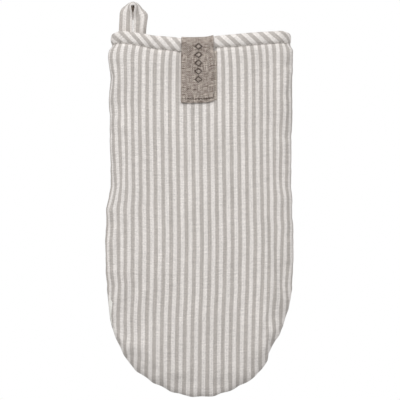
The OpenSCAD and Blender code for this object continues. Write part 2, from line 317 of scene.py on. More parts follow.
def rim_faces(rows, cols, offset, flip=False):
    """Quads that join the borders of two equal grids, the second one offset vertices further on."""
    bottom = np.arange(cols)
    right = np.arange(rows) * cols + cols - 1
    top = (rows - 1) * cols + np.arange(cols)[::-1]
    left = np.arange(rows)[::-1] * cols
    ring = np.concatenate([bottom[:-1], right[:-1], top[:-1], left[:-1]])
    nxt = np.roll(ring, -1)
    quads = np.stack([ring, ring + offset, nxt + offset, nxt], -1)
    return quads[:, ::-1] if flip else quads


def slab(name, outer, inner, uv, mat, flip=False):
    """A closed sheet between two grids of the same shape, sharing one uv grid."""
    rows, cols = outer.shape[:2]
    n = rows * cols
    verts = np.concatenate([outer.reshape(-1, 3), inner.reshape(-1, 3)])
    faces = np.concatenate([grid_faces(rows, cols, 0, flip), grid_faces(rows, cols, n, not flip),
                            rim_faces(rows, cols, n, flip)])
    flat = np.concatenate([uv.reshape(-1, 2)] * 2)
    return add_mesh(name, verts, faces, flat[faces], mat)


def tube(name, points, uv, mat, closed=False):
    """A tube round its section: points are (length, section, 3), and uv has one more column.

    It is closed along its length too, with one more row in uv, or both ends are drawn in to a point.
    """
    if not closed:
        section = points.shape[1]
        ends = [np.repeat(end.mean(1, keepdims=True), section, 1) for end in (points[:1], points[-1:])]
        points = np.concatenate([ends[0], points, ends[1]])
        uv = np.concatenate([uv[:1], uv, uv[-1:]])
    n, m = points.shape[:2]
    i, j = np.meshgrid(np.arange(n if closed else n - 1), np.arange(m), indexing="ij")
    i2, j2 = (i + 1) % n, (j + 1) % m
    faces = np.stack([i * m + j, i * m + j2, i2 * m + j2, i2 * m + j], -1).reshape(-1, 4)
    corners = np.stack([uv[i, j], uv[i, j + 1], uv[i + 1, j + 1], uv[i + 1, j]], 2).reshape(-1, 4, 2)
    ob = add_mesh(name, points.reshape(-1, 3), faces, corners, mat)
    if not closed:
        weld(ob)
    return ob


def weld(ob):
    """Merges the doubled points at closed ends, and drops the faces that they leave empty."""
    bm = bmesh.new()
    bm.from_mesh(ob.data)
    bmesh.ops.remove_doubles(bm, verts=bm.verts, dist=1e-6)
    bmesh.ops.dissolve_degenerate(bm, edges=bm.edges, dist=1e-9)
    bm.to_mesh(ob.data)
    bm.free()
    ob.data.shade_smooth()


def threads(name, starts, ends, lift, radius, mat, sides=6, steps=5):
    """Stitches: short thick threads from starts to ends, bowed along lift, tapering into the cloth.

    Each is a tube round the bowed line a + (b - a) s + lift sin(pi s), of radius r sin(pi s)^0.4.
    """
    starts, ends, lift = (np.asarray(a, float)[:, None, None, :] for a in (starts, ends, lift))
    s = np.linspace(0, 1, steps)[None, :, None, None]
    phi = (np.arange(sides) * 2 * math.pi / sides)[None, None, :, None]
    axis = ends - starts
    axis = axis / np.linalg.norm(axis, axis=-1, keepdims=True)
    up = lift / np.linalg.norm(lift, axis=-1, keepdims=True)
    side = np.cross(axis, up)
    r = radius * np.clip(np.sin(math.pi * s), 0.02, 1) ** 0.4
    line = starts + (ends - starts) * s + lift * np.sin(math.pi * s)
    pts = line + r * (np.cos(phi) * side + np.sin(phi) * up)
    n = pts.shape[0]
    base = (np.arange(n) * steps * sides)[:, None, None]
    i = np.arange(steps - 1)[None, :, None] * sides
    j = np.arange(sides)[None, None, :]
    j2 = (j + 1) % sides
    quads = np.stack([base + i + j, base + i + sides + j, base + i + sides + j2, base + i + j2], -1)
    ring = np.array([[0, 1, 2, 3], [0, 3, 4, 5]])
    caps = np.concatenate([base[..., 0] + ring.reshape(1, -1),
                           base[..., 0] + (steps - 1) * sides + ring[:, ::-1].reshape(1, -1)], 1)
    faces = np.concatenate([quads.reshape(-1, 4), caps.reshape(-1, 4)])
    uv = np.stack([np.broadcast_to(j * 0.2, quads.shape[:-1]).ravel(),
                   np.broadcast_to(i * 0.2, quads.shape[:-1]).ravel()], -1)
    uvs = np.concatenate([np.repeat(uv[:, None], 4, 1), np.zeros((len(caps.reshape(-1, 4)), 4, 2))])
    return add_mesh(name, pts.reshape(-1, 3), faces, uvs, mat)


# ---------------------------------------------------------------- materials

def srgb(hex_colour):
    """A colour written as sRGB hex, turned linear."""
    c = [int(hex_colour[i:i + 2], 16) / 255 for i in (1, 3, 5)]
    return [x / 12.92 if x <= 0.04045 else ((x + 0.055) / 1.055) ** 2.4 for x in c] + [1.0]


MATH, MIX = "ShaderNodeMath", "ShaderNodeMix"
COLOURS = {"out": 2, "data_type": "RGBA"}       # what a mix of colours gives, and its settings


def add_node(tree, kind, inputs=(), out=0, **settings):
    """Adds a node with its settings and links, and gives its output of that number or name.

    inputs are values or other nodes' outputs: a list in the node's own order, or a dict by name or number.
    """
    node = tree.nodes.new(kind)
    for key, value in settings.items():
        setattr(node, key, value)
    for key, value in inputs.items() if isinstance(inputs, dict) else enumerate(inputs):
        if isinstance(value, bpy.types.NodeSocket):
            tree.links.new(value, node.inputs[key])
        else:
            node.inputs[key].default_value = value
    return node.outputs[out]


def cloth_material(name, roughness=0.9, sheen=0.15):
    """A fibre material with no pattern yet: matt, with the soft sheen of fibre ends.

    It comes with its node tree, its cloth coordinates, and their lengths across and along the cloth.
    """
    mat = bpy.data.materials.new(name)
    mat.use_nodes = True
    tree = mat.node_tree
    shader = tree.nodes["Principled BSDF"]
    shader.inputs["Roughness"].default_value = roughness
    shader.inputs["IOR"].default_value = 1.5
    shader.inputs["Specular IOR Level"].default_value = 0.25
    shader.inputs["Sheen Weight"].default_value = sheen
    shader.inputs["Sheen Roughness"].default_value = 0.5
    uv = add_node(tree, "ShaderNodeUVMap", uv_map="cloth")
    across, along = add_node(tree, "ShaderNodeSeparateXYZ", [uv], out=slice(0, 2))
    return mat, tree, uv, across, along


def woven(mat, colour, height, strength, depth_mm):
    """Gives a material its colour, and its raised threads, which are depth_mm high."""
    tree = mat.node_tree
    shader = tree.nodes["Principled BSDF"]
    normal = add_node(tree, "ShaderNodeBump",
                      {"Strength": strength, "Distance": depth_mm * MM, "Height": height})
    tree.links.new(colour, shader.inputs["Base Color"])
    tree.links.new(normal, shader.inputs["Normal"])
    return mat


def weave_height(tree, across, along, thread_mm):
    """Height of a plain weave, whose threads pass over each other in turn.

    It is sin(pi across / thread) times sin(pi along / thread).
    """
    waves = []
    for place in (across, along):
        turn = add_node(tree, MATH, [place, math.pi / (thread_mm * MM)], operation="MULTIPLY")
        waves.append(add_node(tree, MATH, [turn], operation="SINE"))
    return add_node(tree, MATH, waves, operation="MULTIPLY")


def stretched_noise(tree, uv, across_mm, along_mm, detail=2.0):
    """Noise drawn out to that many millimetres across and along the cloth, about 0.5."""
    scale = (1 / (across_mm * MM), 1 / (along_mm * MM), 1.0)
    place = add_node(tree, "ShaderNodeMapping", {"Vector": uv, "Scale": scale})
    return add_node(tree, "ShaderNodeTexNoise",
                    {"Vector": place, "Scale": 1.0, "Detail": detail, "Roughness": 0.55},
                    out="Fac", noise_dimensions="2D")


def summed(tree, start, *parts):
    """start plus each pattern times its weight."""
    for pattern, weight in parts:
        start = add_node(tree, MATH, [pattern, weight, start], operation="MULTIPLY_ADD")
    return start


def striped_linen(name, light="#E2DDD9", dark="#B8B2AD"):
    """Linen and cotton cloth in plain weave, with grey warp stripes, washed and unpressed.

    The stripes are the warp's own colour, so their edges are a thread's width soft: the grey's share is
    1.7 cos(2 pi across / repeat) + 0.5, kept between 0 and 1. Thick and thin threads (slubs) make faint
    bars across and along. The weave is drawn at 0.9 mm, about twice its real thread spacing, so that
    it shows at all.
    """
    mat, tree, uv, across, along = cloth_material(name)
    wobble = stretched_noise(tree, uv, 3.0, 14.0)
    u = summed(tree, -0.25 * MM, (wobble, 0.5 * MM), (across, 1.0))
    turn = add_node(tree, MATH, [u, 2 * math.pi / (STRIPE_PITCH * MM)], operation="MULTIPLY")
    wave = add_node(tree, MATH, [turn], operation="COSINE")
    stripe = add_node(tree, MATH, [wave, 1.7, 0.5], operation="MULTIPLY_ADD", use_clamp=True)
    base = add_node(tree, MIX, {0: stripe, 6: srgb(light), 7: srgb(dark)}, **COLOURS)
    weft = stretched_noise(tree, uv, 11.0, 0.9, 3.0)
    warp = stretched_noise(tree, uv, 0.9, 40.0, 3.0)
    fleck = stretched_noise(tree, uv, 1.4, 1.1, 1.0)
    cloud = stretched_noise(tree, uv, 34.0, 46.0)
    weave = weave_height(tree, across, along, 0.9)
    tone = summed(tree, 0.33, (weft, 0.48), (warp, 0.34), (fleck, 0.46), (cloud, 0.10), (weave, 0.035))
    grey = add_node(tree, "ShaderNodeCombineXYZ", [tone, tone, tone])
    colour = add_node(tree, MIX, {0: 1.0, 6: base, 7: grey}, **COLOURS, blend_type="MULTIPLY")
    return woven(mat, colour, summed(tree, weave, (weft, 1.4), (warp, 1.0)), 0.5, 0.12)


def plain_cotton(name):
    """Unbleached cotton lining in plain weave: cream, matt, with faint slubs both ways.

    Its weave is drawn at 0.8 mm, coarser than it is, so that it shows.
    """
    mat, tree, uv, across, along = cloth_material(name)
    weft = stretched_noise(tree, uv, 18.0, 0.6, 3.0)
    warp = stretched_noise(tree, uv, 0.6, 18.0, 3.0)
    slubs = summed(tree, 0.0, (weft, 0.5), (warp, 0.5))
    colour = add_node(tree, MIX, {0: slubs, 6: srgb("#D9D2C6"), 7: srgb("#F3EFE8")}, **COLOURS)
    return woven(mat, colour, summed(tree, weave_height(tree, across, along, 0.8), (slubs, 1.0)), 0.4, 0.1)


def batting(name):
    """Needle-punched cotton wadding: white, felted, with clumps of fibre."""
    mat, tree, *_ = cloth_material(name, 1.0, 0.3)
    place = add_node(tree, "ShaderNodeTexCoord", out="Object")
    clumps = add_node(tree, "ShaderNodeTexNoise",
                      {"Vector": place, "Scale": 450.0, "Detail": 6.0, "Roughness": 0.7}, out="Fac")
    colour = add_node(tree, MIX, {0: clumps, 6: srgb("#DEDAD2"), 7: srgb("#FBFAF6")}, **COLOURS)
    return woven(mat, colour, clumps, 0.7, 0.4)


def linen_tape(name, dark="#62534A", light="#CFC3B9", motif=True):
    """Undyed linen tape in a coarse plain weave, with uneven brown and grey threads.

    A column of five small woven lozenges stands where such a label carries its mark. The threads are
    drawn at 0.9 mm, about twice their real spacing, or they wouldn't show.
    """
    mat, tree, uv, across, along = cloth_material(name, 0.88, 0.1)
    weft = stretched_noise(tree, uv, 5.0, 0.45, 1.0)
    warp = stretched_noise(tree, uv, 0.5, 9.0, 1.0)
    fleck = stretched_noise(tree, uv, 0.9, 0.6, 1.0)
    weave = weave_height(tree, across, along, 0.9)
    tone = summed(tree, weft, (warp, 0.65), (fleck, 0.15), (weave, 0.26))
    tone = add_node(tree, MATH, [tone, 4.8, -3.66], operation="MULTIPLY_ADD", use_clamp=True)
    colour = add_node(tree, MIX, {0: tone, 6: srgb(dark), 7: srgb(light)}, **COLOURS)
    if motif:
        colour = lozenges(tree, across, along, fleck, colour)
    return woven(mat, colour, summed(tree, weave, (tone, 1.5)), 0.8, 0.22)


def lozenges(tree, across, along, fleck, colour):
    """Dark brown lozenge outlines over the label's colour, one in each pitch of the motif.

    d = |across| / 4 mm + |along, from the middle of its pitch| / 3.4 mm, with a ragged edge of 0.15.
    The outline is where d is about 0.5 to 1.
    """
    pitch = MOTIF_PITCH * MM
    above = add_node(tree, MATH, [along, MOTIF_FIRST * MM - pitch / 2], operation="SUBTRACT")
    begun = add_node(tree, MATH, [above, 0.0], operation="GREATER_THAN")
    not_over = add_node(tree, MATH, [above, pitch * MOTIF_COUNT], operation="LESS_THAN")
    turn = add_node(tree, MATH, [above, pitch], operation="MODULO")
    cell = add_node(tree, MATH, [turn, pitch / 2], operation="SUBTRACT")
    side = add_node(tree, MATH, [across, MOTIF_X * MM], operation="SUBTRACT")
    wide = add_node(tree, MATH, [side], operation="ABSOLUTE")
    high = add_node(tree, MATH, [cell], operation="ABSOLUTE")
    d = summed(tree, -0.15, (fleck, 0.3), (wide, 1 / (4.0 * MM)), (high, 1 / (3.4 * MM)))
    within = add_node(tree, MATH, [d, -4.0, 4.4], operation="MULTIPLY_ADD", use_clamp=True)
    outside = add_node(tree, MATH, [d, 5.0, -2.4], operation="MULTIPLY_ADD", use_clamp=True)
    mark = 0.95
    for share in (within, outside, begun, not_over):
        mark = add_node(tree, MATH, [mark, share], operation="MULTIPLY")
    return add_node(tree, MIX, {0: mark, 6: colour, 7: srgb("#3F332C")}, **COLOURS)


def sewing_thread(name, colour):
    """Spun sewing thread, with a slight gloss, and painted shade in bands along its twist that darken its
    colour by up to a fifth.
    """
    mat, tree, *_ = cloth_material(name, 0.7, 0.1)
    place = add_node(tree, "ShaderNodeTexCoord", out="Object")
    twist = add_node(tree, "ShaderNodeTexWave", {"Vector": place, "Scale": 900.0, "Distortion": 1.5},
                     out="Fac", wave_type="BANDS", bands_direction="DIAGONAL")
    # painted shade: the darker colour of the bands along the twist
    shade = [c * 0.8 for c in srgb(colour)[:3]] + [1.0]
    base = add_node(tree, MIX, {0: twist, 6: shade, 7: srgb(colour)}, **COLOURS)
    return woven(mat, base, twist, 0.5, 0.1)


def floor_paint(name):
    """A table that looks burnt out to pure white from above, and lights the mitt only as grey card does."""
    mat = bpy.data.materials.new(name)
    mat.use_nodes = True
    tree = mat.node_tree
    card = tree.nodes["Principled BSDF"]
    card.inputs["Base Color"].default_value = (0.6, 0.6, 0.6, 1)
    card.inputs["Roughness"].default_value = 0.9
    white = add_node(tree, "ShaderNodeEmission", {"Strength": 1.0})
    seen = add_node(tree, "ShaderNodeLightPath", out="Is Camera Ray")
    both = add_node(tree, "ShaderNodeMixShader", [seen, card.outputs[0], white])
    tree.links.new(both, tree.nodes["Material Output"].inputs["Surface"])
    return mat


MOTIF_FIRST = 21.0      # distance of the lowest lozenge above the label's lower edge
MOTIF_PITCH = 7.4       # from one lozenge to the next
MOTIF_COUNT = 5
MOTIF_X = 0.9           # the column stands this far right of the label's middle

linen = striped_linen("washed_linen_stripe")
bias_linen = striped_linen("washed_linen_stripe_on_the_bias")
# painted shade: a darker, browner copy of the striped linen, for the loop's inner ply in the shadow between
# its legs
painted_shade_linen = striped_linen("washed_linen_stripe_painted_shade", light="#D8CDC2", dark="#ACA095")
cotton = plain_cotton("unbleached_cotton_lining")
wadding = batting("needled_cotton_batting")
tape = linen_tape("natural_linen_tape")
tape_under = linen_tape("natural_linen_tape_reverse", "#8F8378", "#D6CCC1", motif=False)
pale_thread = sewing_thread("off_white_sewing_thread", "#E9E5DF")
dark_thread = sewing_thread("dark_brown_sewing_thread", "#4A3B32")


# ---------------------------------------------------------------- camera, lights, floor

VIEW_W = 360.0          # the picture's width across the mitt's middle height, in millimetres
CAMERA_UP = 3000.0      # far enough for the sides to be seen nearly straight down
CAMERA_X = 0.45         # the middle of the picture on the mitt
CAMERA_Y = -0.2
SENSOR = 36.0


def add_camera():
    """The camera looks straight down. Its lens takes in the view's width at the height of the seam."""
    cam = bpy.data.cameras.new("camera")
    cam.sensor_width = SENSOR
    cam.lens = SENSOR * (CAMERA_UP - SEAM_Z) / VIEW_W
    ob = bpy.data.objects.new("camera", cam)
    ob.location = (CAMERA_X * MM, CAMERA_Y * MM, CAMERA_UP * MM)
    bpy.context.scene.collection.objects.link(ob)
    bpy.context.scene.camera = ob


def add_light(name, place, size, power):
    """A square soft box at place, in metres, aimed at the mitt."""
    data = bpy.data.lights.new(name, "AREA")
    data.size = size
    data.energy = power
    ob = bpy.data.objects.new(name, data)
    ob.location = place
    ob.rotation_euler = (-Vector(place)).to_track_quat("-Z", "Y").to_euler()
    bpy.context.scene.collection.objects.link(ob)


def add_studio():
    """A white room with two soft boxes beyond the cuff, left and right, and a white table."""
    world = bpy.data.worlds.new("studio")
    bpy.context.scene.world = world
    world.use_nodes = True
    world.node_tree.nodes["Background"].inputs["Color"].default_value = (1, 1, 1, 1)
    world.node_tree.nodes["Background"].inputs["Strength"].default_value = 0.55
    add_light("soft_box_left", (-1.8, 1.95, 1.8), 1.35, 38)
    add_light("soft_box_top", (1.2, 2.1, 2.25), 1.35, 36)
    bpy.context.scene.view_settings.view_transform = "Standard"
    half = 3.0
    corners = [(-half, -half, 0), (half, -half, 0), (half, half, 0), (-half, half, 0)]
    me = bpy.data.meshes.new("table_top")
    me.from_pydata(corners, [], [(0, 1, 2, 3)])
    ob = bpy.data.objects.new("table_top", me)
    bpy.context.scene.collection.objects.link(ob)
    me.materials.append(floor_paint("white_table_top"))


add_camera()
add_studio()


# ---------------------------------------------------------------- cloth simulation

SIM_ACROSS = 61
SIM_ALONG = 101
SIM_FRAMES = 20
SIM_CAP = 3.5           # no point of the cloth moves further than this
EASE = 0.055            # the cloth is cut this much longer than the seam that gathers it
EASE_DEEP = 16.0        # ... and the extra length is taken up this far in from the seam
HOLD = 0.1              # the wadding holds the cloth in place this firmly, the seam and binding wholly


def cloth_weights(points, xi):
    """For each point, how free of gathers it is and how firmly it is held, both from 0 to 1."""
    t = points[..., 1] - TIP_Y
    below_tip = np.clip(TIP_LEN - t, 0, None) / TIP_LEN
    r = np.sqrt(xi ** 2 + below_tip ** 2)
    free = smooth(PALM_HALF * (1 - r) / EASE_DEEP)
    bound = smooth((t - (cuff_at(xi) - binding_w_at(xi)) + 10) / 8)
    return free, np.maximum(HOLD, bound)


def add_weights(ob, name, weights):
    """A vertex group of those weights, in steps of one fiftieth."""
    group = ob.vertex_groups.new(name=name)
    steps = np.round(weights * 50).astype(int)
    for step in np.unique(steps):
        group.add(np.nonzero(steps == step)[0].tolist(), float(step / 50), "REPLACE")


def settled_moves():
    """How far each point of the outer cloth moves, front and back, as the sewn mitt is filled.

    The front's and back's coarse grids share their outline points, so they are one bag, open at the
    cuff. The cloth near the seam is longer than the seam, and the wadding presses it outwards, so it
    settles into gathers square to the seam.
    """
    shape = (SIM_ALONG, SIM_ACROSS)
    front = panel("shell", True, SIM_ACROSS, SIM_ALONG)
    back = panel("shell", False, SIM_ACROSS, SIM_ALONG)
    front_id = np.arange(front[..., 0].size).reshape(shape)
    inside = np.zeros(shape, bool)
    inside[1:, 1:-1] = True
    back_id = front_id.copy()
    back_id[inside] = front_id.size + np.arange(inside.sum())
    verts = np.concatenate([front.reshape(-1, 3), back[inside]])
    faces = [np.stack([g[:-1, :-1], g[:-1, 1:], g[1:, 1:], g[1:, :-1]], -1).reshape(-1, 4)
             for g in (front_id, back_id[:, ::-1])]
    bag = add_mesh("cloth_bag", verts, np.concatenate(faces))
    xi = np.broadcast_to(across_columns(SIM_ACROSS)[None, :], shape)
    free, held = (np.concatenate([f.ravel(), b[inside]])
                  for f, b in zip(cloth_weights(front, xi), cloth_weights(back, xi)))
    seam = np.concatenate([front_id[0], front_id[:, 0], front_id[:, -1]])
    held[seam] = np.maximum(held[seam], 0.9)
    add_weights(bag, "held", held)
    add_weights(bag, "free", free)
    cloth = bag.modifiers.new("settle", "CLOTH")
    set_cloth(cloth.settings)
    cloth.point_cache.frame_start = 1
    cloth.point_cache.frame_end = SIM_FRAMES
    for number in range(1, SIM_FRAMES + 1):
        bpy.context.scene.frame_set(number)
    settled = bag.evaluated_get(bpy.context.evaluated_depsgraph_get())
    place = np.zeros(verts.size, np.float32)
    settled.data.vertices.foreach_get("co", place)
    move = place.reshape(-1, 3) / MM - verts
    size = np.linalg.norm(move, axis=1, keepdims=True)
    move *= np.minimum(1, SIM_CAP / np.maximum(size, 1e-9))
    bpy.data.objects.remove(bag)
    bpy.context.scene.frame_set(1)
    return evened(move[front_id]), evened(move[back_id])


def set_cloth(settings):
    """Limp cloth without weight, pressed out by the wadding, with the extra length near the seam."""
    settings.quality = 5
    settings.mass = 0.3
    settings.tension_stiffness = 15
    settings.compression_stiffness = 15
    settings.shear_stiffness = 5
    settings.bending_stiffness = 0.5
    settings.effector_weights.gravity = 0
    settings.use_pressure = True
    settings.uniform_pressure_force = 6
    settings.vertex_group_mass = "held"
    settings.vertex_group_shrink = "free"
    settings.shrink_min = -EASE
    settings.shrink_max = 0


def evened(move):
    """Averages each point's move a little with its neighbours', so that no single point sticks out."""
    for axis in (0, 1):
        averaged(np.moveaxis(move, axis, 0), 2)
    return move


def spread(move, rows, cols):
    """A coarse grid's moves, read at a finer grid's rows and columns, on straight lines between them."""
    for axis, n in ((0, rows), (1, cols)):
        m = np.moveaxis(move, axis, 0)
        at = np.linspace(0, len(m) - 1, n)
        i = np.clip(at.astype(int), 0, len(m) - 2)
        f = (at - i).reshape((-1,) + (1,) * (m.ndim - 1))
        move = np.moveaxis(m[i] * (1 - f) + m[i + 1] * f, 0, axis)
    return move


# ---------------------------------------------------------------- the mitt's panels

N_ACROSS = 121
N_ALONG = 201
PALM_ROW = 0.62         # the row across the palm, as a share of all rows, that the stripes are set out on


def bend_at_fold(ob):
    """Bakes the object's placement into its mesh, and leaves its shape as it is."""
    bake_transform(ob)


def cloth_uv(points):
    """Cloth coordinates of a panel: lengths across the palm's row, and lengths up each column.

    The zero of the across coordinate is the middle of a grey stripe. The cloth is stretched over the
    rolled edges, so that only ROLL_SHARE of their extra length shows in it. In the tip the warp runs
    straight on, where the panel's columns bend.
    """
    row = points[int(len(points) * PALM_ROW)]
    u = lengths(row)
    u = u - np.interp(STRIPE_AT, row[:, 0], u)
    across = row[:, 0] - STRIPE_AT
    u = across + ROLL_SHARE * (u - across)
    t = points[..., 1] - TIP_Y
    straight = smooth((85 - t) / 45) * smooth(np.abs(points[..., 2] - SEAM_Z) / 6)
    u = u[None, :] + straight * (points[..., 0] - row[None, :, 0]) - eased(WARP_DRIFT, t)
    rise = np.linalg.norm(np.diff(points, axis=0), axis=-1)
    v = np.concatenate([np.zeros((1, points.shape[1])), np.cumsum(rise, 0)])
    v = v - v[-1:] + MITT_LEN
    return np.stack([u, v], -1)


def seam_distance(points):
    """Length along the outline of the place nearest each point, counted from the middle of the tip.

    It is the angle round the tip's centre times the tip's radius, plus the length above the tip.
    """
    angle = np.arctan2(points[..., 0], np.clip(TIP_LEN + TIP_Y - points[..., 1], 0, None) + 1e-6)
    body = np.clip(points[..., 1] - TIP_Y - TIP_LEN, 0, None) * np.sign(points[..., 0])
    return angle * TIP_RADIUS + body


def pucker(points, front, seed):
    """Small gathers square to the seam, fading out 14 mm in from it, and broad soft unevenness."""
    s = seam_distance(points)
    rng = np.random.default_rng(seed)
    out = np.zeros(points.shape[:2])
    for wave in (9.0, 13.0, 19.0, 27.0, 41.0):
        out += rng.uniform(0.5, 1.0) * np.sin(2 * math.pi * s / wave + rng.uniform(0, 6.28))
    height = points[..., 2] - SEAM_Z if front else SEAM_Z - points[..., 2]
    near = np.clip(height / 9, 0, 1) * np.clip(1.35 - height / (14.6 if front else 15), 0, 1)
    return out * 0.16 * near


def declare_cut(ob, layer, front):
    """Computes the panel's coarse grid of points for that layer and side, which nothing uses.

    Its width is the median row's in the half next to the cuff, and its length the longest column's.
    """
    points = panel(layer, front, SIM_ACROSS, SIM_ALONG)


def make_shell(front):
    """One panel of the outer cloth, 1.2 mm thick, with its gathers at the seam."""
    points = panel("shell", front, N_ACROSS, N_ALONG)
    uv = cloth_uv(points)
    points = points + evened(spread(MOVES[front], N_ALONG, N_ACROSS))
    outward = 1 if front else -1
    points = points + outward * normals_of(points) * pucker(points, front, 5 if front else 9)[..., None]
    if front:
        points[..., 2] += ripple(points, 3, 60) * 0.35 * smooth((points[..., 2] - SEAM_Z) / 14)
    else:
        points[..., 2] = np.maximum(points[..., 2], 0.0)
    out = outward * normals_of(points)
    ob = bent_slab("shell", front, points, points - out * SHELL_T, uv, linen)
    declare_cut(ob, "shell", front)
    return points


def bent_slab(part, front, outer, inner, uv, mat):
    """A closed panel, in place of the CAD's hand and finger nodes, which it hides; its placement is baked
    into its mesh.
    """
    name = ("front_" if front else "back_") + part
    ob = slab(name, outer, inner, uv, mat, flip=not front)
    bend_at_fold(ob)
    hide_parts(name + "_hand", name + "_fingers")
    return ob


def make_layer(part, inner_layer, front, mat, end):
    """A closed panel between two of the mitt's inner surfaces.

    Where the shell's cloth has settled inwards, the wadding's outside goes in with it.
    """
    outer = panel(part, front, SIM_ACROSS, SIM_ALONG, end)
    inner = panel(inner_layer, front, SIM_ACROSS, SIM_ALONG, end)
    if part == "wadding":
        outer = outer + np.minimum(MOVES[front] * OUTWARD[front], 0) * OUTWARD[front]
    return bent_slab(part, front, outer, inner, cloth_uv(outer), mat)


MOVES = dict(zip((True, False), settled_moves()))
OUTWARD = {True: np.array([1, 1, 1]), False: np.array([1, 1, -1])}
front_points = make_shell(True)
back_points = make_shell(False)
for front in (True, False):
    make_layer("wadding", "lining", front, wadding, 2.5)
    declare_cut(make_layer("lining", "pocket", front, cotton, 2.0), "lining", front)


# ---------------------------------------------------------------- seams

def outline(inset, n=420):
    """The seam's line round the outline at seam height, from the left cuff corner round the tip."""
    lo = panel("shell", True, 121, 201, extra=(0.0, inset))
    left, tip, right = lo[::-1, 0], lo[0], lo[:, -1]
    line = np.concatenate([left[:-1], tip[:-1], right])
    line[:, 2] = SEAM_Z
    d = lengths(line)
    return read_line(np.linspace(0, d[-1], n), d, line)


def cord_along(name, line, radius, mat, sides=8):
    """A round cord along a level line: the section turns with the line's direction."""
    direction = np.gradient(line, axis=0)
    direction /= np.linalg.norm(direction, axis=1, keepdims=True)
    up = np.array([0, 0, 1.0])
    side = np.cross(direction, up)
    phi = np.arange(sides) * 2 * math.pi / sides
    ring = side[:, None] * np.cos(phi)[None, :, None] + up * np.sin(phi)[None, :, None]
    return tube(name, line[:, None] + radius * ring, grid_uv(np.arange(sides + 1) * 0.5, lengths(line)), mat)


for name, inset, radius in (("shell_seam", 0.25, 0.5), ("lining_seam", LAYERS["lining"][1] + 0.5, 0.35)):
    seam = cord_along(name, outline(inset), radius, pale_thread)
    bend_at_fold(seam)
    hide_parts(name + "_hand", name + "_fingers")


# ---------------------------------------------------------------- cuff binding

N_MOUTH = 160           # steps along the front's half of the mouth
LIP = 60.0              # the binding's section stops this far below its sides, in degrees


def mouth_curve():
    """The closed line round the mouth on the shell's outside.

    It runs left to right over the front and back again under it, in equal steps. It comes with the
    outward direction, the share xi and the length at each point, and the whole length.
    """
    xi = across_columns(N_ACROSS)
    loop = np.concatenate([front_points[-3, :-1], back_points[-3, :0:-1], front_points[-3, :1]])
    d = lengths(loop[:, [0, 2]])
    s = np.linspace(0, d[-1], N_MOUTH * 2 + 1)[:-1]
    pts = read_line(s, d, loop)
    xi_s = np.interp(s, d, np.concatenate([xi[:-1], xi[::-1]]))
    for _ in range(6):
        pts = (np.roll(pts, 1, 0) + 2 * pts + np.roll(pts, -1, 0)) / 4
    tangent = np.roll(pts, -1, 0) - np.roll(pts, 1, 0)
    tangent[:, 1] = 0
    out = np.cross([0.0, 1.0, 0.0], tangent)
    out = -out / np.linalg.norm(out, axis=1, keepdims=True)
    return pts, out, xi_s, s, d[-1]


def wall_at(xi):
    """Thickness of the padded wall at the cuff: 9 mm, pinched to 5 mm at the side seams."""
    return 5.0 + 4.0 * smooth((1 - np.abs(xi)) * PALM_HALF / 26)


def binding_section(xi, s, angle, proud):
    """Offsets of the binding's section at those angles: out from the shell, and down from the edge.

    The section is a superellipse of power 2.6 round the cloth wall, puffed a little unevenly.
    """
    puff = 0.25 * np.sin(s / 6.1 + 1.0) + 0.2 * np.sin(s / 11.3 + 2.0)
    middle = binding_w_at(xi) * 0.55
    wide, half = wall_at(xi) / 2 + 1.75 + puff + proud, middle + proud
    c, sn = np.cos(angle), np.sin(angle)
    n = -wall_at(xi) / 2 + wide * np.sign(c) * np.abs(c) ** (2 / 2.6)
    e = middle - half * np.sign(sn) * np.abs(sn) ** (2 / 2.6)
    return n, e


def binding_points(pts, out, xi, s, angle, proud=0.0):
    """Points of the binding's surface round the mouth, proud by that much, kept above the table."""
    n, e = binding_section(xi[:, None], s[:, None], angle[None, :], proud)
    p = pts[:, None] + out[:, None] * n[..., None]
    p[..., 1] = TIP_Y + cuff_at(xi)[:, None] - e
    p[..., 2] = np.maximum(p[..., 2], -0.5 * proud)
    return p


def make_binding():
    """The cuff's binding: a strip of the striped cloth cut at 45 degrees, folded over the edge.

    Its cloth coordinates are the lengths round the mouth and over the fold, turned by 45 degrees.
    """
    pts, out, xi, s, total = mouth_curve()
    angle = np.radians(np.linspace(-LIP, 180 + LIP, 49))
    outer = binding_points(pts, out, xi, s, angle)
    inner = binding_points(pts, out, xi, s, angle[::-1], -1.1)
    ring = np.concatenate([outer, inner], 1)
    over = lengths(outer.mean(0))
    over = np.concatenate([over, over[::-1], over[:1]])
    along = np.append(s, total)
    repeat = STRIPE_PITCH * math.sqrt(2)
    along = along / total * round(total / repeat) * repeat
    u = (along[:, None] + over[None, :] + 4.0) / math.sqrt(2)
    v = (along[:, None] - over[None, :]) / math.sqrt(2)
    ob = tube("cuff_binding_strip", ring, np.stack([u, v], -1), bias_linen, closed=True)
    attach(ob, "hand_part")
    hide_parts("cuff_binding")
    return pts, out, xi, s


mouth = make_binding()


def make_binding_stitches():
    """A row of small stitches in the groove under the binding, front and back."""
    pts, out, xi, s = mouth
    line = binding_points(pts, out, xi, s, np.radians([-50.0]))[:, 0] + out * 0.25
    line = np.concatenate([line, line[:1]])
    out = np.concatenate([out, out[:1]])
    d = lengths(line)
    pitch, length = 3.2, 2.3
    at = np.arange(0, d[-1] - pitch, pitch)
    up = read_line(at + length / 2, d, out)
    ob = threads("binding_thread", read_line(at, d, line), read_line(at + length, d, line), up * 0.25,
                 0.26, pale_thread)
    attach(ob, "hand_part")
    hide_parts("binding_stitches")


make_binding_stitches()


# ---------------------------------------------------------------- label

